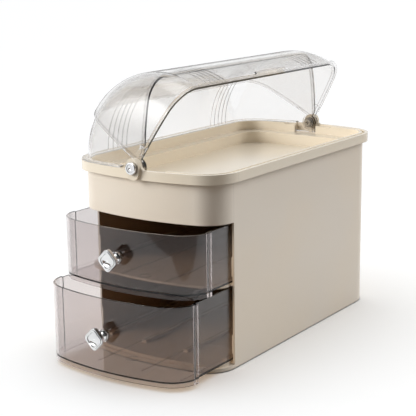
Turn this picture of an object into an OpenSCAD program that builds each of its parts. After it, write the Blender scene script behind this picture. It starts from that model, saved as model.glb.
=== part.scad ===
// Two drawer vanity organizer with a bowed plan, a deep tray on top and a two part barrel cover.
// The fixed cover half stands on the left of the tray. The moving half turns on two pivots and
// slides over the fixed one. Origin: middle of the footprint, on the table. +X right, +Y back, +Z up.

/* [Cabinet outline] */
// Width of the cabinet across its sides
body_w = 180; // [150:1:230]
// Length of the straight part of each side
side_l = 270; // [220:1:330]
// How far each bowed end swells past the straight sides
bow = 39.3; // [36:0.1:50]
// Radius of the four rounded corners
corner_r = 32.5; // [26:0.5:37]
// Thickness of the cabinet walls
wall = 2.2; // [1.6:0.1:2.6]

/* [Base] */
// Height of the feet under the base
foot_h = 1.2; // [0.8:0.1:3]
// Radius of the feet
foot_r = 7; // [5:0.5:10]
// Distance from a foot to the cabinet side
foot_inset = 16; // [12:1:24]
// Thickness of the base plate
base_t = 3.8; // [2.5:0.1:5]
// Height of the sill and of the runners on the base plate
sill_h = 3.1; // [2:0.1:4.5]
// Width of a drawer runner
runner_w = 6; // [4:0.5:10]

/* [Drawers] */
// Height of the lower drawer front
lower_h = 81.9; // [60:0.1:110]
// Height of the upper drawer front
upper_h = 64.9; // [50:0.1:90]
// Thickness of the drawer fronts
front_t = 2.3; // [1.8:0.1:2.6]
// Thickness of the drawer sides and back
tub_t = 2.3; // [1.6:0.1:3]
// Thickness of the drawer floors
tub_floor = 1.8; // [1.4:0.1:2.4]
// Gap between a drawer side and the cabinet wall
tub_gap = 1.5; // [1:0.1:3]
// Gap between the drawer back and the inside of the cabinet back
tub_back = 44; // [40:1:80]
// How far a front stands inside the outline of the cabinet
front_inset = 0.9; // [0.5:0.1:1.6]
// Width of the upright post at each end of a drawer front
post_w = 4; // [3.2:0.1:6]
// Distance of the inner pair of floor ribs from the middle
rib_in = 28; // [20:1:36]
// Distance of the outer pair of floor ribs from the middle
rib_out = 76; // [60:1:78]
// Width of a floor rib
rib_w = 2; // [1.4:0.1:3]
// Radius of the gate mark on the drawer floors
ring_r = 7; // [4:0.5:12]
// Pull of the upper drawer as shown
upper_pull = 38.3; // [0:0.1:150]
// Pull of the lower drawer as shown
lower_pull = 62.3; // [0:0.1:150]
// Height of the ribs under the drawer floors
rib_h = 0.8; // [0.5:0.1:1.2]
// Length of the stop bumps on the drawer sides
bump_l = 8; // [5:0.5:12]
// Height of the stop bumps and of the catches that hold them
bump_h = 20; // [10:0.5:30]
// Height of the stop bumps over the surface that the drawer runs on
bump_z = 8; // [5:0.5:15]
// Depth of the catches behind the cabinet's front edges
catch_l = 2; // [1.5:0.1:3]
// Full travel of a drawer
drawer_travel = 190; // [120:1:200]

/* [Shelf and fascia] */
// Thickness of the shelf between the drawers
shelf_t = 2.4; // [1.8:0.1:3.5]
// Thickness of the side rails under the shelf
rail_w = 0.8; // [0.6:0.1:1]
// Height of the side rails under the shelf
rail_h = 3; // [2:0.1:4]
// Air above the lower drawer front
lower_air = 1.6; // [1:0.1:4]
// Air above the upper drawer front
upper_air = 2.4; // [1:0.1:5]
// Height of the closed front above the drawers
fascia_h = 42.3; // [36:0.1:70]

/* [Tray] */
// Height of the rim round the tray
rim_h = 10; // [8:0.1:14]
// How far the rim stands out past the cabinet
rim_out = 6.2; // [5:0.1:9]
// Thickness of the rim skirt
rim_t = 2.4; // [1.8:0.1:3]
// Width of the outer bead on the rim
bead_w = 3.8; // [3:0.1:5]
// Width of the groove between the beads
groove_w = 3; // [2:0.1:3.2]
// Depth of the groove
groove_h = 2; // [1:0.1:3]
// Distance of the tray wall inside the cabinet outline
tray_in = 4; // [3.8:0.1:5]
// Thickness of the tray walls and floor
tray_t = 1.8; // [1.4:0.1:2.5]
// Depth of the ledge below the rim
ledge_h = 11; // [10.5:0.1:16]
// Width of the ledge along the sides
ledge_w = 14.5; // [8:0.5:24]
// Width of the ledge at the ends
ledge_end = 20; // [14:0.5:40]
// Depth of the well below the ledge
well_h = 13.5; // [6:0.5:20]
// Radius of the corners of the well
well_r = 24; // [12:1:30]
// Swell of the ends of the well
well_bow = 26; // [25:0.5:32]
// Half width of the stretch at each pivot where the inner bead is left out
bead_gap = 33; // [26:1:50]

/* [Pivots] */
// Height of the pivot axis over the rim
pivot_rise = 2; // [1.5:0.1:4]
// Radius of the pivot sleeve
pin_r = 2.5; // [2:0.1:3.5]
// Radius of the chrome pivot cap
cap_r = 6.5; // [5.5:0.1:7.5]
// Thickness of the chrome pivot cap
cap_t = 3.6; // [2.5:0.1:5]
// Half width of the boss that carries the cap
boss_r = 8; // [7.6:0.1:9]
// How far the boss reaches above the pivot axis before it rounds off
boss_up = 1.7; // [1:0.1:3]
// How far the boss reaches below the pivot axis before it rounds off
boss_down = 4.7; // [3:0.1:6]
// How far the boss stands out of the rim
boss_out = 2.8; // [1.5:0.1:4]
// Radius of the round hub of each cover
hub_r = 10; // [8.5:0.1:10]
// Reach of the thick pad that spreads from each hub of the moving cover
pad_r = 24; // [18:0.5:30]
// Height of the notch over the round hub
pad_rise = 4; // [2:0.5:6]
// Radius of the rounded notch in that pad
pad_notch = 12; // [8:0.5:14]
// Radius of the pivot screw shank
screw_r = 1.5; // [1:0.1:1.8]
// Radius of the pivot screw head
screw_head_r = 5; // [3.5:0.1:6]
// Thickness of the pivot screw head
screw_head_t = 2.5; // [1.8:0.1:3.5]
// Thickness of the washer under a screw head
washer_t = 0.8; // [0.5:0.1:1.2]

/* [Covers] */
// Thickness of the cover walls
cover_t = 2; // [1.6:0.1:2.2]
// Gap between the two covers
cover_gap = 1.2; // [0.9:0.1:2]
// Width of the flange on the cover edges
flange_w = 3.4; // [2.5:0.1:3.8]
// Thickness of the flange on the cover edges
flange_t = 1.6; // [1.2:0.1:2.2]
// Height of the small lips on the meeting edges
lip_h = 0.8; // [0.4:0.1:0.8]
// Width of the small lips on the meeting edges
lip_w = 1.2; // [1:0.1:1.4]
// Distance of the fixed cover's upright edge past the axis
left_edge = 8.5; // [8.3:0.1:10]
// Reach of the fixed cover's tabs on the other side of the axis
tab_left = 19; // [17:0.5:22]
// Distance of the moving cover's trailing edge past the axis when closed
trail_edge = 5.5; // [3:0.1:5.7]
// Angle between the shown and the closed place of the moving cover
open_angle = 59.5; // [0:0.5:88]
// Number of grooves in each group round the covers
grooves = 5; // [2:1:8]
// Distance between two grooves of a group
groove_step = 8; // [4:0.5:10]
// Distance of the middle of a group from the middle of the cover
groove_at = 98; // [50:1:100]
// Depth of a groove in the covers
groove_d = 0.5; // [0.2:0.1:0.8]
// Length of the finger grip on the free edge
grip_l = 60; // [30:1:100]
// How far the finger grip stands out of the flange
grip_out = 2.2; // [1:0.1:4]

/* [Knobs] */
// Side of the rounded square face of a knob
knob_s = 19; // [14:0.5:26]
// Corner radius of the knob face
knob_r = 5; // [2:0.5:6]
// Depth of a knob from the drawer front to its face
knob_d = 16; // [12:0.5:24]
// Thickness of the knob head
knob_head = 5; // [3.5:0.1:7]
// Radius of the round foot of a knob
knob_foot = 6.5; // [5:0.1:9]
// Radius of the knob neck
knob_neck = 3.6; // [3:0.1:5]
// Height of a knob over the middle of its drawer front
knob_rise = 3; // [-10:0.5:12]
// Radius of the knob screw shank
knob_screw = 1.9; // [1.2:0.1:2.2]

/* [Clearances] */
// Running gap between pieces that move past each other
run_gap = 0.3; // [0.3:0.05:0.5]
// Radial play of the moving cover on its pivot sleeve
pivot_play = 0.1; // [0.05:0.01:0.1]
// Radial play of a screw or sleeve in a fixed piece
seat_play = 0.05; // [0.02:0.01:0.1]
// Gap between fixed pieces that slide together
slip_gap = 0.2; // [0.1:0.05:0.3]

/* [Hidden] */
$fn = 96;

cream = [0.89, 0.85, 0.78];
smoke = [0.42, 0.38, 0.38, 0.55];
clear = [0.86, 0.86, 0.87, 0.35];
chrome = [0.85, 0.86, 0.88];
steel = [0.62, 0.62, 0.64];
rubber = [0.75, 0.73, 0.70];

hw = body_w / 2;
hl = side_l / 2;
big = body_w + side_l;
cross = 0.01;
end_y = hl + bow;

base_top = foot_h + base_t;
sill_top = base_top + sill_h;
lower_z = base_top + run_gap;
shelf_z = lower_z + lower_h + lower_air;
shelf_top = shelf_z + shelf_t;
upper_z = shelf_z - run_gap;
fascia_z = upper_z + upper_h + upper_air;
rim_z = fascia_z + fascia_h;
rim_top = rim_z + rim_h;
deck_z = rim_top - groove_h;
shell_top = deck_z - groove_h;
ledge_z = rim_top - ledge_h;
floor_z = ledge_z - well_h;
axis_z = rim_top + pivot_rise;

front_in = front_inset + front_t;
sill_in = front_in + run_gap;
tub_x = hw - wall - tub_gap;
tub_end = end_y - wall - tub_back;
post_y = -hl - run_gap;
bump_out = tub_gap / 2 + 0.05;
catch_in = tub_gap - run_gap - 0.1;

inner_bead = rim_out - bead_w - groove_w;
outer_e = rim_out - bead_w - slip_gap;
left_e = outer_e - cover_t - cover_gap;
flange_e = outer_e + flange_w;
hub_out = end_y + outer_e;
hub_in = hub_out - cover_t;
tab_out = end_y + left_e;
tab_in = tab_out - cover_t;
boss_in = hub_out + run_gap + slip_gap / 2;
boss_face = end_y + rim_out + boss_out;
lead_z = run_gap - pivot_rise;
flange_from = 2 * boss_r;
knob_z = [lower_z + lower_h / 2 + knob_rise, upper_z + upper_h / 2 + knob_rise];
pulls = [lower_pull, upper_pull];
face_y = end_y - front_inset;
notch_at = hub_r + pad_rise + pad_notch;
root = groove_d + 0.3;
knob_washer_r = 2.8 * knob_screw;
inner_arc = (pow(hw - corner_r, 2) + pow(bow, 2) - pow(corner_r, 2)) / (2 * (bow - corner_r)) - front_in;
washer_sag = inner_arc - sqrt(pow(inner_arc, 2) - pow(knob_washer_r, 2));
foot_x = hw - foot_inset;
foot_y = hl - foot_r;

// Outline of the bowed plan, grown by e. Two wide arcs close the ends and four small ones the
// corners, which overlap their neighbours by a hair, lap, so that the arcs cross.
module plan(e, w = hw, l = hl, b = bow, r = corner_r, lap = cross) {
  arc = (pow(w - r, 2) + pow(b, 2) - pow(r, 2)) / (2 * (b - r));
  off = arc - b;
  join_x = (w - r) * (arc + e) / (arc - r);
  union() {
    intersection() {
      translate([0, off - l]) circle(r = arc + e, $fn = 180);
      translate([0, l - off]) circle(r = arc + e, $fn = 180);
      square([2 * join_x, 2 * (l + b + e) + 2], center = true);
    }
    square([2 * (w + e), 2 * l], center = true);
    for (x = [-1, 1], y = [-1, 1]) translate([x * (w - r), y * l]) circle(r = r + e + lap);
  }
}

module band(outer, inner, z0, z1) {
  translate([0, 0, z0]) linear_extrude(z1 - z0) difference() {
    plan(outer);
    plan(inner);
  }
}

module well_plan(e) {
  plan(e, hw - tray_in - ledge_w, end_y - tray_in - ledge_end - well_bow, well_bow, well_r);
}

// Block that spans both ends between two widths and heights
module slab(x0, x1, z0, z1) {
  translate([x0, -big, z0]) cube([x1 - x0, 2 * big, z1 - z0]);
}

// Round bar along Y between two distances from the middle, at the front
module bar(r, y0, y1) {
  translate([0, -y0, 0]) rotate([90, 0, 0]) cylinder(r = r, h = y1 - y0);
}

module at_axis() {
  translate([0, 0, axis_z]) children();
}

module both_ends() {
  children();
  mirror([0, 1, 0]) children();
}

module cabinet_shell() {
  color(cream) difference() {
    band(0, -wall, foot_h, shell_top);
    // Drawer opening below the fascia
    translate([-hw - 1, -big, foot_h - 1]) cube([body_w + 2, big - hl, fascia_z - foot_h + 1]);
    // Clearance for the cover hubs
    slab(-tab_left - tray_t - 1, hub_r + tray_t + 1, rim_z, rim_top);
  }
  // Catches at the front edges that hold the stop bumps of the drawers
  color(cream) for (x = [-1, 1], bed = [sill_top, shelf_top]) {
    translate([x * (hw - wall + 0.5 - catch_in / 2) - catch_in / 2 - 0.5, -hl, bed + bump_z])
      cube([catch_in + 1, catch_l, bump_h]);
  }
}

// Plan that a drawer front closes over, with room for its end posts
module front_lip() {
  difference() {
    plan(-sill_in);
    for (x = [-1, 1]) {
      translate([x * (hw - front_inset - post_w / 2) - post_w / 2 - run_gap, post_y - post_w - run_gap])
        square([post_w + 2 * run_gap, post_w + 2 * run_gap]);
    }
  }
}

module base_plate() {
  color(cream) union() {
    translate([0, 0, foot_h]) linear_extrude(base_t) union() {
      plan(-wall - slip_gap);
      intersection() {
        plan(0);
        translate([-hw, -big]) square([body_w, big - hl]);
      }
    }
    // Sill that the lower front closes over
    translate([0, 0, base_top]) linear_extrude(sill_h) intersection() {
      difference() {
        front_lip();
        plan(-sill_in - 3);
      }
      translate([-hw, -big]) square([body_w, big - hl]);
    }
    for (x = [-rib_out, -rib_in, rib_in, rib_out]) {
      translate([x - runner_w / 2, -hl, base_top]) cube([runner_w, 2 * hl, sill_h]);
    }
  }
}

module drawer_shelf() {
  color(cream) union() {
    translate([0, 0, shelf_z]) linear_extrude(shelf_t) union() {
      front_lip();
      intersection() {
        plan(-wall);
        translate([-hw, -hl]) square([body_w, big]);
      }
    }
    // Side rails under the shelf
    for (x = [-1, 1]) {
      translate([x * (hw - wall - rail_w) - rail_w / 2, -hl + corner_r, shelf_z - rail_h])
        cube([rail_w, 2 * (hl - corner_r), rail_h + 1]);
    }
  }
}

// Boss profile, upright capsule with two swept fillets down to the rim
module boss_plan() {
  union() {
    translate([0, boss_up]) circle(r = boss_r);
    translate([0, -boss_down]) circle(r = boss_r);
    translate([-boss_r, -boss_down]) square([2 * boss_r, boss_up + boss_down]);
  }
}

module boss_fillets() {
  r = boss_r * 0.7;
  difference() {
    translate([-boss_r - r, -pivot_rise - 1]) square([2 * (boss_r + r), r + 1]);
    for (x = [-1, 1]) translate([x * (boss_r + r), r - pivot_rise]) circle(r = r);
  }
}

module boss() {
  at_axis() {
    translate([0, -boss_in, 0]) rotate([90, 0, 0]) linear_extrude(boss_face - boss_in) boss_plan();
    translate([0, -boss_in, 0]) rotate([90, 0, 0]) linear_extrude(end_y + rim_out - boss_in) boss_fillets();
  }
}

module top_tray() {
  color(cream) difference() {
    union() {
      band(rim_out, rim_out - rim_t, rim_z, rim_top);
      band(rim_out, -tray_in, shell_top, deck_z);
      band(rim_out, rim_out - bead_w, deck_z, rim_top);
      difference() {
        band(inner_bead, -tray_in, deck_z, rim_top);
        slab(-bead_gap, bead_gap, deck_z, rim_top + 1);
      }
      band(-wall - slip_gap, -tray_in, ledge_z - tray_t, deck_z);
      translate([0, 0, ledge_z - tray_t]) linear_extrude(tray_t) difference() {
        plan(-wall - slip_gap);
        well_plan(0);
      }
      translate([0, 0, floor_z - tray_t]) linear_extrude(well_h + tray_t) difference() {
        well_plan(tray_t);
        well_plan(0);
      }
      translate([0, 0, floor_z - tray_t]) linear_extrude(tray_t) well_plan(tray_t);
      // Solid ground round the two pivots
      intersection() {
        band(rim_out, -tray_in, rim_z, deck_z);
        slab(-tab_left - tray_t, hub_r + tray_t, rim_z, deck_z);
      }
      both_ends() boss();
    }
    // Room for the shell edge under the deck
    difference() {
      band(slip_gap, -wall - slip_gap, rim_z - 1, shell_top);
      slab(-tab_left - tray_t, hub_r + tray_t, rim_z - 2, rim_top);
    }
    both_ends() {
      // Alcove for the hub of the moving cover and the tab of the fixed one
      translate([-tab_left - run_gap, -boss_in, rim_z - 1])
        cube([tab_left + hub_r + 2 * run_gap, boss_in - end_y + bow / 2, rim_h + 2]);
      at_axis() bar(pin_r + seat_play, boss_in - 1, boss_face + 1);
    }
  }
}

// Outline of a cover wall from the outside at e, with the grooves of the barrel cut in
module cover_section(e, t, cut) {
  difference() {
    plan(e, lap = 0);
    plan(e - t, lap = 0);
    translate([-big, -big]) square([big, 2 * big]);
    if (cut) {
      for (side = [-1, 1], i = [0 : grooves - 1]) {
        y = side * groove_at + (i - (grooves - 1) / 2) * groove_step;
        translate([hw + e - groove_d, y - groove_d]) square([1, 2 * groove_d]);
      }
    }
  }
}

// Section turned about the pivot axis from angle a, counted from +X towards +Z
module turned(a, span) {
  rotate([90, 0, 0]) rotate([0, 0, a]) rotate_extrude(angle = span, $fn = 120) mirror([0, 1]) children();
}

module cover_left() {
  color(clear) at_axis() difference() {
    union() {
      intersection() {
        turned(60, 125) cover_section(left_e, cover_t, true);
        slab(-big, left_edge, -pivot_rise, big);
      }
      // Flange that rests on the rim
      intersection() {
        turned(170, 15) cover_section(flange_e, flange_e - left_e + cover_t / 2, false);
        slab(-big, -tab_left, -pivot_rise, flange_t - pivot_rise);
      }
      // Lip along the upright edge
      intersection() {
        turned(75, 30) cover_section(left_e + lip_h, lip_h + root, false);
        slab(left_edge - lip_w, left_edge, hub_r + boss_r, big);
      }
      both_ends() {
        translate([-tab_left, -tab_out - cross, rim_z - axis_z])
          cube([tab_left + left_edge, cover_t + 2 * cross, rim_h + pivot_rise + cross]);
        bar(hub_r - 1, tab_in - washer_t / 2, tab_out);
      }
    }
    both_ends() bar(pin_r + seat_play, tab_in - 2, tab_out + 1);
  }
}

module cover_right() {
  color(clear) at_axis() rotate([0, -open_angle, 0]) difference() {
    union() {
      intersection() {
        turned(-8, 100) cover_section(outer_e, cover_t, true);
        slab(trail_edge, big, lead_z, big);
      }
      // Flange along the free edge
      intersection() {
        turned(-8, 16) cover_section(flange_e, flange_w + root, false);
        slab(flange_from, big, lead_z, lead_z + flange_t);
      }
      // Finger grip in the middle of the free edge
      translate([hw + flange_e - 1, -grip_l / 2, lead_z]) cube([grip_out + 1, grip_l, flange_t]);
      translate([hw + flange_e + grip_out - 1.2, -grip_l / 2, lead_z]) cube([1.2, grip_l, flange_t + 1.5]);
      // Lip along the trailing edge
      intersection() {
        turned(75, 30) cover_section(outer_e - cover_t + 0.5, lip_h + 0.5, false);
        slab(trail_edge, trail_edge + lip_w, hub_r + boss_r, big);
      }
      both_ends() bar(hub_r, hub_in - cross, hub_out + cross);
      // Thick pads that spread from the hubs along both edges
      both_ends() translate([0, cross - hub_in, 0]) rotate([90, 0, 0]) linear_extrude(cover_t + 2 * cross)
        difference() {
          intersection() {
            circle(r = pad_r);
            translate([trail_edge, lead_z]) square([pad_r, pad_r + pivot_rise]);
          }
          translate([notch_at, notch_at] * sqrt(0.5)) circle(r = pad_notch);
        }
    }
    both_ends() bar(pin_r + pivot_play, hub_in - 2, hub_out + 1);
  }
}

// Chrome cap with its sleeve, at the front
module pivot_cap() {
  color(chrome) at_axis() translate([0, -tab_in, 0]) rotate([90, 0, 0]) {
    len = boss_face - tab_in;
    rotate_extrude() difference() {
      union() {
        square([pin_r, len + 1]);
        translate([0, len]) square([cap_r, cap_t - 1]);
        translate([0, len]) square([cap_r - 0.8, cap_t]);
        translate([cap_r - 1, len + cap_t - 1]) circle(r = 1);
      }
      // Screw thread bore
      translate([-1, -1]) square([screw_r + seat_play + 1, len + 1]);
      // Dish with a step in the face
      translate([-1, len + cap_t - 0.5]) square([cap_r * 0.66 + 1, 2]);
      translate([0, len + cap_t + 3]) circle(r = 4.2);
      translate([-2, -2]) square([2, 2 * big]);
    }
  }
}

module pivot_screw() {
  seat = tab_in - washer_t / 2 - washer_t;
  color(steel) at_axis() difference() {
    union() {
      bar(screw_r, seat - 0.5, boss_face - 0.5);
      bar(screw_head_r, seat - screw_head_t * 0.6, seat);
      bar(screw_head_r * 0.8, seat - screw_head_t, seat - screw_head_t * 0.5);
    }
    cross_recess(seat - screw_head_t, screw_head_r * 0.5);
  }
}

// Cross shaped driver recess in a head whose face is at y
module cross_recess(y, r) {
  for (a = [0, 90]) {
    rotate([0, a, 0]) translate([-r, -y - 1.4, -0.5]) cube([2 * r, 2.4, 1]);
  }
}

module ring(r, bore, y0, y1) {
  color(steel) at_axis() difference() {
    bar(r, y0, y1);
    bar(bore, y0 - 1, y1 + 1);
  }
}

module hub_washer() {
  ring(hub_r * 0.6, pin_r + seat_play, tab_out + cross, tab_out + cover_gap - run_gap);
}

module screw_washer() {
  seat = tab_in - washer_t / 2;
  ring(screw_head_r + 1.2, screw_r + seat_play, seat - washer_t, seat);
}

// Bowed drawer front between two heights
module drawer_front(z0, z1) {
  intersection() {
    union() {
      band(-front_inset, -front_in, z0, z1);
      // End posts
      for (x = [-1, 1]) {
        translate([x * (hw - front_inset - post_w / 2) - post_w / 2, post_y - post_w, z0])
          cube([post_w, post_w, z1 - z0]);
      }
    }
    translate([0, 0, z0]) linear_extrude(z1 - z0) plan(-front_inset);
    translate([-hw, -big, z0]) cube([body_w, big + post_y, z1 - z0]);
  }
}

// Drawer in its closed place: z front bottom, h front height, bed the surface it runs on
module drawer(z, h, bed, knob_at) {
  top = z + h;
  low = bed + run_gap + rib_h;
  color(smoke) difference() {
    union() {
      drawer_front(z, top);
      // Tub floor, sides and back
      translate([0, 0, low]) linear_extrude(tub_floor) union() {
        intersection() {
          plan(-front_inset - front_t / 2);
          translate([-tub_x, -big]) square([2 * tub_x, big - hl]);
        }
        translate([-tub_x, -hl - 1]) square([2 * tub_x, hl + 1 + tub_end]);
      }
      translate([0, 0, low]) linear_extrude(top - low) difference() {
        translate([-tub_x, post_y - post_w / 2]) square([2 * tub_x, tub_end - post_y + post_w / 2]);
        translate([tub_t - tub_x, post_y - post_w]) square([2 * (tub_x - tub_t), tub_end - post_y + post_w - tub_t]);
      }
      for (x = [-rib_out, -rib_in, rib_in, rib_out]) {
        translate([x - rib_w / 2, -hl - bow / 3, low - rib_h]) cube([rib_w, hl + bow / 3 + tub_end, rib_h + 1]);
      }
      // Gate mark ring on the floor
      translate([0, -hl + ring_r, low + tub_floor - 0.5]) cylinder(r = ring_r, h = 1);
      // Stop bumps on the sides
      for (x = [-1, 1]) {
        translate([x * tub_x - bump_out, -hl + catch_l + run_gap + drawer_travel, bed + bump_z])
          cube([2 * bump_out, bump_l, bump_h]);
      }
    }
    translate([0, -hl + ring_r, low + tub_floor]) cylinder(r = ring_r - 1.2, h = 1);
    translate([0, 0, knob_at]) bar(knob_screw + seat_play, face_y - front_t - 2, face_y + 1);
  }
}

module rounded_square(s, r) {
  union() {
    square([s, s - 2 * r], center = true);
    square([s - 2 * r, s], center = true);
    for (x = [-1, 1], y = [-1, 1]) translate([x * (s / 2 - r), y * (s / 2 - r)]) circle(r = r, $fn = 48);
  }
}

// Knob along -Y from the drawer face: turned foot and neck, square head with a stepped dish
module knob_shape() {
  head = knob_d - knob_head;
  rotate([90, 0, 0]) difference() {
    union() {
      rotate_extrude() difference() {
        union() {
          square([knob_foot, 1.6]);
          square([knob_foot - 1, 2.4]);
          square([knob_neck + 1.6, head + 0.5]);
          translate([0, head - 1.2]) square([knob_foot, 1.7]);
        }
        translate([knob_neck + 4.4, (head + 1.2) / 2]) circle(r = 4.4);
        translate([-2, -1]) square([2, knob_d]);
      }
      rotate([0, 0, 45]) {
        translate([0, 0, head]) linear_extrude(1) rounded_square(knob_s - 2.4, knob_r - 1.2);
        translate([0, 0, head + 0.8]) linear_extrude(knob_head - 2) rounded_square(knob_s, knob_r);
        translate([0, 0, head + 0.8]) linear_extrude(knob_head - 1.4) rounded_square(knob_s - 1, knob_r - 0.5);
        translate([0, 0, head + 1]) linear_extrude(knob_head - 1) rounded_square(knob_s - 3.4, knob_r - 1);
      }
    }
    rotate([0, 0, 45]) translate([0, 0, knob_d - 0.6]) linear_extrude(1) rounded_square(knob_s - 6, knob_r - 1.5);
    translate([0, 0, knob_d + 15]) sphere(r = 16.6);
    translate([0, 0, -1]) cylinder(r = knob_screw + seat_play, h = 9);
  }
}

module on_front(i) {
  translate([0, -face_y - pulls[i], knob_z[i]]) children();
}

module knob(i) {
  color(chrome) on_front(i) knob_shape();
}

module knob_screw_at(i) {
  color(steel) on_front(i) translate([0, front_t + washer_sag + washer_t, 0]) difference() {
    union() {
      bar(knob_screw, 0, front_t + washer_t + 7);
      bar(2 * knob_screw, -2.2, 0);
    }
    cross_recess(-2.2, 1.3 * knob_screw);
  }
}

module knob_washer(i) {
  color(steel) on_front(i) translate([0, front_t + washer_sag, 0]) difference() {
    bar(knob_washer_r, -washer_t, 0);
    bar(knob_screw + seat_play, -washer_t - 1, 1);
  }
}

module foot(x, y) {
  color(rubber) translate([x * foot_x, y * foot_y, 0]) cylinder(r = foot_r, h = foot_h);
}

cabinet_shell();
base_plate();
drawer_shelf();
top_tray();
cover_left();
cover_right();
pivot_cap();  // pivot_cap_front
mirror([0, 1, 0]) pivot_cap();  // pivot_cap_rear
pivot_screw();  // pivot_screw_front
mirror([0, 1, 0]) pivot_screw();  // pivot_screw_rear
hub_washer();  // hub_washer_front
mirror([0, 1, 0]) hub_washer();  // hub_washer_rear
screw_washer();  // screw_washer_front
mirror([0, 1, 0]) screw_washer();  // screw_washer_rear
translate([0, -lower_pull, 0]) drawer(lower_z, lower_h, sill_top, knob_z[0]);  // drawer_lower
translate([0, -upper_pull, 0]) drawer(upper_z, upper_h, shelf_top, knob_z[1]);  // drawer_upper
knob(0);  // knob_lower
knob(1);  // knob_upper
knob_screw_at(0);  // knob_screw_lower
knob_screw_at(1);  // knob_screw_upper
knob_washer(0);  // knob_washer_lower
knob_washer(1);  // knob_washer_upper
foot(-1, -1);  // foot_front_left
foot(1, -1);  // foot_front_right
foot(-1, 1);  // foot_rear_left
foot(1, 1);  // foot_rear_right
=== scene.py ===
# Looks of the two drawer vanity organizer: materials, light, floor and the view of the photograph.
# Lengths are in metres, in the frame's coordinates, with the front of the organizer towards -Y.
import math

import bpy
from mathutils import Matrix, Vector


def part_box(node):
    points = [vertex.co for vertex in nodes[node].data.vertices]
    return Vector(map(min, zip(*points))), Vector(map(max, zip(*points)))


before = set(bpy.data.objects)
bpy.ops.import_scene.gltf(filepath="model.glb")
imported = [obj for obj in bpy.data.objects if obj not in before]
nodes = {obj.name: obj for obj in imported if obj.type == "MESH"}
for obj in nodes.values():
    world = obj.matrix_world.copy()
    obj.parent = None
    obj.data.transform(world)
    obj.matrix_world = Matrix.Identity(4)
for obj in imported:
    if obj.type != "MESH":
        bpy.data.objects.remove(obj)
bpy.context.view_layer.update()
scene = bpy.context.scene

# ---------------------------------------------------------------- sizes
SEAM_Y = 0.135                # faint parting line of the mould, this far in front of the origin
SEAM_X = (0.087, 0.0885)      # it shows only on the outer sides
BEVEL = 0.0005                # how far the shading of moulded edges is rounded
LINE = 0.0005                 # width of the dark line of painted shade beside a rim of the cover
GROOVE_AT = 0.098             # middle of a group of grooves from the middle of the cover
GROOVE_STEP = 0.008
GROOVE_SPAN = 2.4             # half a group, counted in steps
OPEN = math.radians(59.5)     # how far the moving cover stands open as shown
FLOOR_RADIUS = 12.0
FLOOR_SIDES = 64
FLOOR_EDGE_AZ = 151           # the mirrored floor ends along a line, facing this way
FLOOR_EDGE = (0.565, 0.58)    # and this far out
FLOOR_EDGE_X = (-0.45, -0.28)  # from here to the right only
FLOOR_REACH = (1.5, 2.1)      # beyond this distance it is dark all round

# ---------------------------------------------------------------- colours
def srgb(r, g, b):
    """Linear colour with alpha for an sRGB colour of 0 to 255."""
    return tuple(((v / 255 + 0.055) / 1.055) ** 2.4 if v > 10 else v / 255 / 12.92 for v in (r, g, b)) + (1.0,)


def darker(tint, factor):
    return tuple(c * factor for c in tint[:3]) + (1.0,)


CREAM = srgb(226, 217, 204)
TRAY = srgb(231, 221, 203)
RUBBER = srgb(190, 184, 174)
CLEAR = (0.938, 0.932, 0.928, 1.0)
SMOKE = (0.757, 0.713, 0.708, 1.0)
SMOKE_THROUGH = (0.84, 0.785, 0.725, 1.0)
CHROME = (0.88, 0.885, 0.89, 1.0)
STEEL = (0.62, 0.61, 0.60, 1.0)
# painted shade: the dark colour of the cover's rim bands and groove bottoms
EDGE_SHADE = (0.20, 0.17, 0.16, 1.0)
# painted shade: the dark colour laid into the creases of the metal parts
CREASE_SHADE = (0.10, 0.09, 0.09, 1.0)

# ---------------------------------------------------------------- camera
AZ, EL, ROLL = math.radians(34.95), math.radians(12.95), math.radians(-0.70)
TARGET = Vector((-0.0044, -0.0450, 0.1417))
DIST = 1.2568
back = Vector((math.sin(AZ) * math.cos(EL), -math.cos(AZ) * math.cos(EL), math.sin(EL)))
right = Vector((math.cos(AZ), math.sin(AZ), 0.0))
up = back.cross(right)
r_axis = right * math.cos(ROLL) + up * math.sin(ROLL)
u_axis = up * math.cos(ROLL) - right * math.sin(ROLL)
cam = bpy.data.objects.new("camera", bpy.data.cameras.new("camera"))
scene.collection.objects.link(cam)
m = Matrix((r_axis, u_axis, back)).transposed().to_4x4()
m.translation = TARGET + back * DIST
cam.matrix_world = m
cam.data.lens = 97.46
cam.data.sensor_width = 36.0
cam.data.clip_start = 0.05
cam.data.clip_end = 60.0
scene.camera = cam


# ---------------------------------------------------------------- shader helpers
def level(az):
    """Level unit vector, 0 looking along +Y and 90 along +X."""
    return math.sin(math.radians(az)), math.cos(math.radians(az)), 0.0


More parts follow.
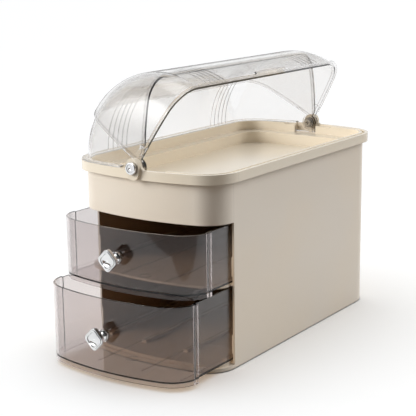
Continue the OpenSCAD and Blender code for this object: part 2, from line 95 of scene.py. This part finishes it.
class Tree:
    """Small builder for one material's or world's node tree."""

    def __init__(self, owner):
        owner.use_nodes = True
        self.t = owner.node_tree
        self.t.nodes.clear()

    def node(self, kind, props=None, **sockets):
        n = self.t.nodes.new(kind)
        for k, v in (props or {}).items():
            setattr(n, k, v)
        for k, v in sockets.items():
            self.put(n, k.replace("_", " "), v)
        return n

    def put(self, n, name, v):
        s = n.inputs[int(name)] if name.isdigit() else n.inputs[name]
        if isinstance(v, bpy.types.NodeSocket):
            self.t.links.new(v, s)
        else:
            s.default_value = v

    def place(self):
        """Position in the piece's own coordinates, so that a look moves with its piece."""
        return self.node("ShaderNodeTexCoord").outputs["Object"]

    def xyz(self, v):
        return self.node("ShaderNodeSeparateXYZ", Vector=v).outputs

    def math(self, op, a, b=0.0):
        n = self.node("ShaderNodeMath", {"operation": op})
        self.put(n, "0", a)
        self.put(n, "1", b)
        return n.outputs[0]

    def vector(self, op, a, b=None):
        """A vector, or a number where the operation gives one."""
        n = self.node("ShaderNodeVectorMath", {"operation": op})
        self.put(n, "0", a)
        if b is not None:
            self.put(n, "1", b)
        return n.outputs["Value" if op in ("DOT_PRODUCT", "LENGTH") else "Vector"]

    def mix(self, f, a, b):
        n = self.node("ShaderNodeMix", {"data_type": "RGBA"})
        for s, v in ((0, f), (6, a), (7, b)):
            self.put(n, str(s), v)
        return n.outputs[2]

    def ramp(self, f, lo, hi, to_lo=0.0, to_hi=1.0):
        n = self.node("ShaderNodeMapRange", {"interpolation_type": "SMOOTHSTEP"})
        for s, v in zip("01234", (f, lo, hi, to_lo, to_hi)):
            self.put(n, s, v)
        return n.outputs[0]

    def noise(self, coord, scale, detail=3.0, rough=0.5):
        return self.node("ShaderNodeTexNoise", Vector=coord, Scale=scale, Detail=detail, Roughness=rough).outputs[0]

    def out(self, shader, kind="ShaderNodeOutputMaterial"):
        self.put(self.t.nodes.new(kind), "Surface", shader)


def material(name):
    mat = bpy.data.materials.new(name)
    return mat, Tree(mat)


# ---------------------------------------------------------------- kinds of material
def moulded(name, tint, rough, grain=1.0):
    """Injection moulded opaque plastic: soft colour drift, fine satin grain, rounded edges, faint flow marks."""
    mat, t = material(name)
    pos = t.place()
    drift = t.noise(pos, 9.0, 2.0)
    speck = t.noise(pos, 420.0, 4.0, 0.6)
    flow = t.noise(t.vector("MULTIPLY", pos, (3.0, 3.0, 26.0)), 2.0)
    warm = (tint[0] * 1.02, tint[1], tint[2] * 0.965, 1.0)
    col = t.mix(t.ramp(drift, 0.35, 0.68), tint, warm)
    col = t.mix(t.ramp(speck, 0.45, 0.9, 0.0, 0.35), col, darker(tint, 0.93))
    # Faint parting line where the front of the mould meets the straight sides
    at = t.xyz(pos)
    along = t.math("ABSOLUTE", t.math("ADD", at["Y"], SEAM_Y))
    seam = t.math("MULTIPLY", t.ramp(along, 0.0003, 0.0008, 1.0, 0.0), t.ramp(t.math("ABSOLUTE", at["X"]), *SEAM_X))
    col = t.mix(t.math("MULTIPLY", seam, 0.5), col, darker(tint, 0.80))
    marks = t.ramp(flow, 0.3, 0.7, rough - 0.03, rough + 0.04)
    r = t.math("ADD", marks, t.ramp(speck, 0.3, 0.7, -0.02, 0.02))
    bevel = t.node("ShaderNodeBevel", {"samples": 4}, Radius=BEVEL)
    relief = t.math("SUBTRACT", speck, seam)
    bump = t.node("ShaderNodeBump", Strength=0.12 * grain, Distance=0.0002, Height=relief, Normal=bevel.outputs[0])
    p = t.node("ShaderNodeBsdfPrincipled", Base_Color=col, Roughness=r, IOR=1.5, Normal=bump.outputs[0],
               Coat_Weight=0.12, Coat_Roughness=0.18)
    t.out(p.outputs[0])
    return mat


def trim(t, pos, col, rims, shade_grooves):
    """Painted shade: darker thick rims along straight edges, and dark groove bottoms where shade falls, given in real
    sizes.
    """
    for at, normal, width, shade_amount in rims:
        far = t.vector("DOT_PRODUCT", t.vector("SUBTRACT", pos, at), normal)
        inside = t.ramp(far, width - LINE, width, 1.0, 0.0)
        line = t.math("MULTIPLY", inside, t.ramp(far, width - 3 * LINE, width - 2 * LINE))
        shade = t.math("ADD", t.math("MULTIPLY", inside, shade_amount), t.math("MULTIPLY", line, 0.30))
        col = t.mix(shade, col, EDGE_SHADE)
    if shade_grooves:
        away = t.math("ABSOLUTE", t.math("SUBTRACT", t.math("ABSOLUTE", t.xyz(pos)["Y"]), GROOVE_AT))
        step = t.math("MODULO", t.math("ADD", away, GROOVE_STEP / 2), GROOVE_STEP)
        near = t.math("ABSOLUTE", t.math("SUBTRACT", step, GROOVE_STEP / 2))
        group = t.ramp(away, GROOVE_SPAN * GROOVE_STEP, (GROOVE_SPAN + 0.1) * GROOVE_STEP, 1.0, 0.0)
        row = t.math("MULTIPLY", t.ramp(near, 0.0004, 0.0008, 1.0, 0.0), group)
        col = t.mix(t.math("MULTIPLY", row, 0.16), col, EDGE_SHADE)
    return col


def clear_plastic(name, tint, rough, through, rims=(), shade_grooves=False):
    """Clear moulded plastic: refracting walls for what the eye sees, tinted see-through for soft light and shadow."""
    mat, t = material(name)
    pos = t.place()
    wave = t.noise(pos, 14.0, 2.0)
    haze = t.noise(pos, 160.0)
    col = t.mix(t.ramp(wave, 0.3, 0.7), tint, darker(tint, 0.985))
    # painted shade along the rims and in the groove bottoms
    col = trim(t, pos, col, rims, shade_grooves)
    r = t.ramp(haze, 0.35, 0.75, rough * 0.6, rough * 1.5)
    bump = t.node("ShaderNodeBump", Strength=0.05, Distance=0.0006, Height=wave)
    p = t.node("ShaderNodeBsdfPrincipled", Base_Color=col, Roughness=r, IOR=1.49, Normal=bump.outputs[0],
               Transmission_Weight=1.0)
    see = t.node("ShaderNodeBsdfTransparent", Color=through)
    path = t.node("ShaderNodeLightPath").outputs
    both = t.node("ShaderNodeMixShader", Fac=t.math("MAXIMUM", path["Is Shadow Ray"], path["Is Diffuse Ray"]))
    t.put(both, "1", p.outputs[0])
    t.put(both, "2", see.outputs[0])
    t.out(both.outputs[0])
    return mat


def metal(name, tint, rough, brushed):
    """Plated or turned metal: fine polishing marks in roughness and normal, and painted shade darkening the creases.
    """
    mat, t = material(name)
    pos = t.place()
    lines = t.noise(t.vector("MULTIPLY", pos, (1400.0, 300.0, 1400.0)), 1.0, 3.0, 0.7)
    stain = t.noise(pos, 160.0)
    col = t.mix(t.ramp(stain, 0.35, 0.75), tint, darker(tint, 0.93))
    # painted shade, darker where ambient occlusion finds a crease
    crease_shade = t.node("ShaderNodeAmbientOcclusion", {"samples": 8}, Distance=0.0022)
    col = t.mix(t.ramp(crease_shade.outputs["AO"], 0.45, 0.92), CREASE_SHADE, col)
    worn = t.ramp(stain, 0.3, 0.8, rough * 0.8, rough * 1.3)
    r = t.math("ADD", worn, t.ramp(lines, 0.4, 0.8, 0.0, brushed * 0.12))
    bump = t.node("ShaderNodeBump", Strength=0.04 + brushed * 0.2, Distance=0.0001, Height=lines)
    p = t.node("ShaderNodeBsdfPrincipled", Base_Color=col, Roughness=r, Metallic=1.0, Normal=bump.outputs[0])
    t.out(p.outputs[0])
    return mat


# ---------------------------------------------------------------- materials
# A rim is a point on the edge, the direction inwards from it, its width and how dark its painted shade is.
screw_lo, screw_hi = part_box("pivot_screw_front")
axis_at = Vector((0.0, 0.0, screw_lo.z / 2 + screw_hi.z / 2))
trailing_in = Vector((math.cos(OPEN), 0.0, math.sin(OPEN)))
leading_in = Vector((-math.sin(OPEN), 0.0, math.cos(OPEN)))
fixed_rim_shade = [((0.0085, 0.0, 0.0), (-1.0, 0.0, 0.0), 0.0042, 0.22)]
moving_rim_shade = [
    (axis_at + leading_in * -0.0017, leading_in, 0.0045, 0.08),
    (axis_at + trailing_in * 0.0055, trailing_in, 0.0036, 0.08),
]
# By the name of the piece, or else by the name of the material that the frame gives it
looks = {
    "cover_left": clear_plastic("clear_fixed", CLEAR, 0.012, CLEAR, fixed_rim_shade, True),
    "cover_right": clear_plastic("clear_moving", CLEAR, 0.012, CLEAR, moving_rim_shade, True),
    "cream": moulded("cream_moulded", CREAM, 0.34),
    "cream_tray": moulded("tray_moulded", TRAY, 0.17, 0.35),
    "smoke": clear_plastic("smoked_drawer", SMOKE, 0.008, SMOKE_THROUGH),
    "chrome": metal("chrome_plate", CHROME, 0.05, 0.0),
    "steel": metal("turned_steel", STEEL, 0.22, 1.0),
    "rubber": moulded("foot_rubber", RUBBER, 0.75, 2.0),
}
for name, ob in nodes.items():
    for s in ob.material_slots:
        s.material = looks[name if name in looks else s.material.name.split(".")[0]]

# ---------------------------------------------------------------- floor
mesh = bpy.data.meshes.new("floor")
turn = [2 * math.pi * i / FLOOR_SIDES for i in range(FLOOR_SIDES)]
verts = [(FLOOR_RADIUS * math.cos(a), FLOOR_RADIUS * math.sin(a), 0.0) for a in turn]
mesh.from_pydata(verts, [], [tuple(range(FLOOR_SIDES))])
floor = bpy.data.objects.new("floor", mesh)
scene.collection.objects.link(floor)
mat, t = material("floor_paper")
pos = t.place()
path = t.node("ShaderNodeLightPath").outputs
direct = t.math("MAXIMUM", path["Is Camera Ray"], path["Is Transmission Ray"])
# The paper is burnt out to the eye and lights the object less. In reflections it ends in a dark room on one side.
seen_paper = t.mix(t.noise(pos, 60.0, 4.0), (1.14, 1.145, 1.145, 1.0), (1.12, 1.125, 1.125, 1.0))
beyond = t.ramp(t.vector("DOT_PRODUCT", pos, level(FLOOR_EDGE_AZ)), *FLOOR_EDGE)
dim = t.math("MULTIPLY", beyond, t.ramp(t.xyz(pos)["X"], *FLOOR_EDGE_X))
dim = t.math("MAXIMUM", dim, t.ramp(t.vector("LENGTH", pos), *FLOOR_REACH))
paper = t.mix(path["Is Glossy Ray"], (0.55, 0.515, 0.475, 1.0), (1.02, 1.02, 1.02, 1.0))
paper = t.mix(dim, paper, (0.16, 0.11, 0.08, 1.0))
t.out(t.node("ShaderNodeBsdfDiffuse", Color=t.mix(direct, paper, seen_paper), Roughness=0.3).outputs[0])
mesh.materials.append(mat)

# ---------------------------------------------------------------- room
world = bpy.data.worlds.new("studio")
scene.world = world
t = Tree(world)
ray = t.node("ShaderNodeTexCoord").outputs["Generated"]
high = t.xyz(ray)["Z"]
path = t.node("ShaderNodeLightPath").outputs
gloss = path["Is Glossy Ray"]
seen = t.math("MAXIMUM", path["Is Camera Ray"], path["Is Transmission Ray"])


def towards(az):
    """Cosine of the angle round Z between a ray and a direction."""
    return t.vector("DOT_PRODUCT", ray, level(az))


# What lights the dull surfaces: a dim warm room, with a soft light from above.
room = t.math("ADD", t.ramp(towards(145), -0.2, 0.8, 0.14, 0.05), t.ramp(high, 0.40, 0.95, 0.0, 0.70))
# What the glossy surfaces mirror: a white sweep behind, a soft panel in front on the left, one overhead,
# dark elsewhere.
sweep = t.math("MULTIPLY", t.ramp(towards(-35), 0.3, 0.8), t.ramp(high, 0.16, 0.36, 1.05, 0.2))
sweep = t.math("MULTIPLY", sweep, t.ramp(high, 0.04, 0.17, 0.3, 1.0))
glow = t.math("MULTIPLY", t.ramp(towards(-147), 0.80, 0.985), t.ramp(high, 0.02, 0.25))
glow = t.math("MULTIPLY", glow, t.ramp(high, 0.5, 0.85, 8.0, 0.0))
overhead = t.ramp(high, 0.88, 0.98, 0.0, 4.0)
panels = t.math("MAXIMUM", t.math("MAXIMUM", sweep, glow), overhead)
mirrored = t.math("ADD", t.math("MULTIPLY", panels, 0.92), 0.08)
power = t.math("ADD", t.math("MULTIPLY", room, t.math("SUBTRACT", 1.0, gloss)), t.math("MULTIPLY", mirrored, gloss))
power = t.math("ADD", t.math("MULTIPLY", power, t.math("SUBTRACT", 1.0, seen)), seen)
tone = t.mix(t.ramp(high, 0.1, 0.6), (1.0, 0.85, 0.72, 1.0), (0.985, 0.99, 1.0, 1.0))
tone = t.mix(t.math("MAXIMUM", seen, gloss), tone, (0.985, 0.99, 0.99, 1.0))
t.out(t.node("ShaderNodeBackground", Color=tone, Strength=power).outputs[0], "ShaderNodeOutputWorld")

# ---------------------------------------------------------------- lamps
# The lamps light only the dull pieces. The clear, smoked and plated ones mirror the room instead.
lit = bpy.data.collections.new("lit")
for ob in nodes.values():
    if ob.material_slots[0].material.name.endswith(("_moulded", "_rubber")):
        lit.objects.link(ob)
ground = bpy.data.collections.new("ground")
ground.objects.link(floor)


def lamp(name, az, el, power, spread, on):
    """Distant soft lamp on a collection alone. The azimuth is 0 in front and 90 on the right."""
    light = bpy.data.lights.new(name, "SUN")
    light.energy = power
    light.angle = math.radians(spread)
    light.color = (0.985, 0.993, 1.0)
    ob = bpy.data.objects.new(name, light)
    scene.collection.objects.link(ob)
    a, e = math.radians(az), math.radians(el)
    at = Vector((math.sin(a) * math.cos(e), -math.cos(a) * math.cos(e), math.sin(e)))
    ob.rotation_mode = "QUATERNION"
    ob.rotation_quaternion = (-at).to_track_quat("-Z", "Y")
    ob.light_linking.receiver_collection = on
    ob.visible_glossy = False   # the mirrored room alone makes the highlights


lamp("key_left", -48, 20, 3.4, 30, lit)
lamp("fill_right", 145, 25, 1.95, 34, lit)
lamp("floor_top", -75, 74, 1.6, 90, ground)

scene.view_settings.view_transform = "Standard"
scene.view_settings.look = "None"
scene.cycles.max_bounces = 24
scene.cycles.transmission_bounces = 20
scene.cycles.glossy_bounces = 8
scene.cycles.transparent_max_bounces = 16
scene.cycles.caustics_reflective = False
scene.cycles.caustics_refractive = False
